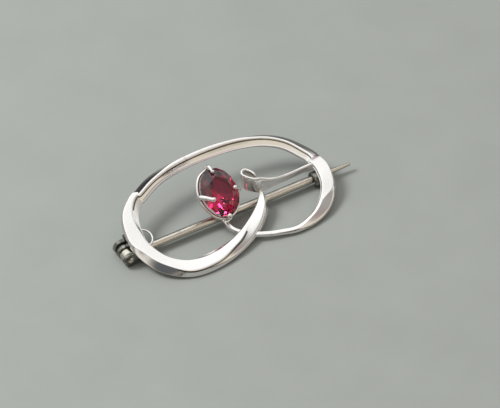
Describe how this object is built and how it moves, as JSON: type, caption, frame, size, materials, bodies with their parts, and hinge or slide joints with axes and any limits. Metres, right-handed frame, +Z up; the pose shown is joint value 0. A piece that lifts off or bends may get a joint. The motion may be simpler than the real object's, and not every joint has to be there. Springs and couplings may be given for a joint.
{
  "type": "garnet brooch with a pin",
  "caption": "Silver swirl brooch with an oval faceted garnet in claws, a leaf with a rolled end, and a hinged pin that closes in a C-catch.",
  "frame": {"origin": "on the surface under the brooch, below the middle of its overall box", "axes": "+X along the closed pin from its hinge to its point, +Y across the brooch to its raised far arch, +Z up"},
  "size_m": [0.0418, 0.0198, 0.0089],
  "materials": {
    "polished_silver": "polished",
    "garnet_red": "polished",
    "pin_metal": "satin"
  },
  "bodies": {
    "brooch": {"silver_frame": "polished_silver", "garnet": "garnet_red", "hinge_rivet": "pin_metal"},
    "pin": {"pin_stem": "pin_metal"}
  },
  "joints": [
    {"name": "pin_swing", "type": "hinge", "parent": "brooch", "child": "pin", "pos_m": [-0.01964, -0.00091, 0.00125], "axis": [0, 1, 0], "range_deg": [0, 100]}
  ]
}
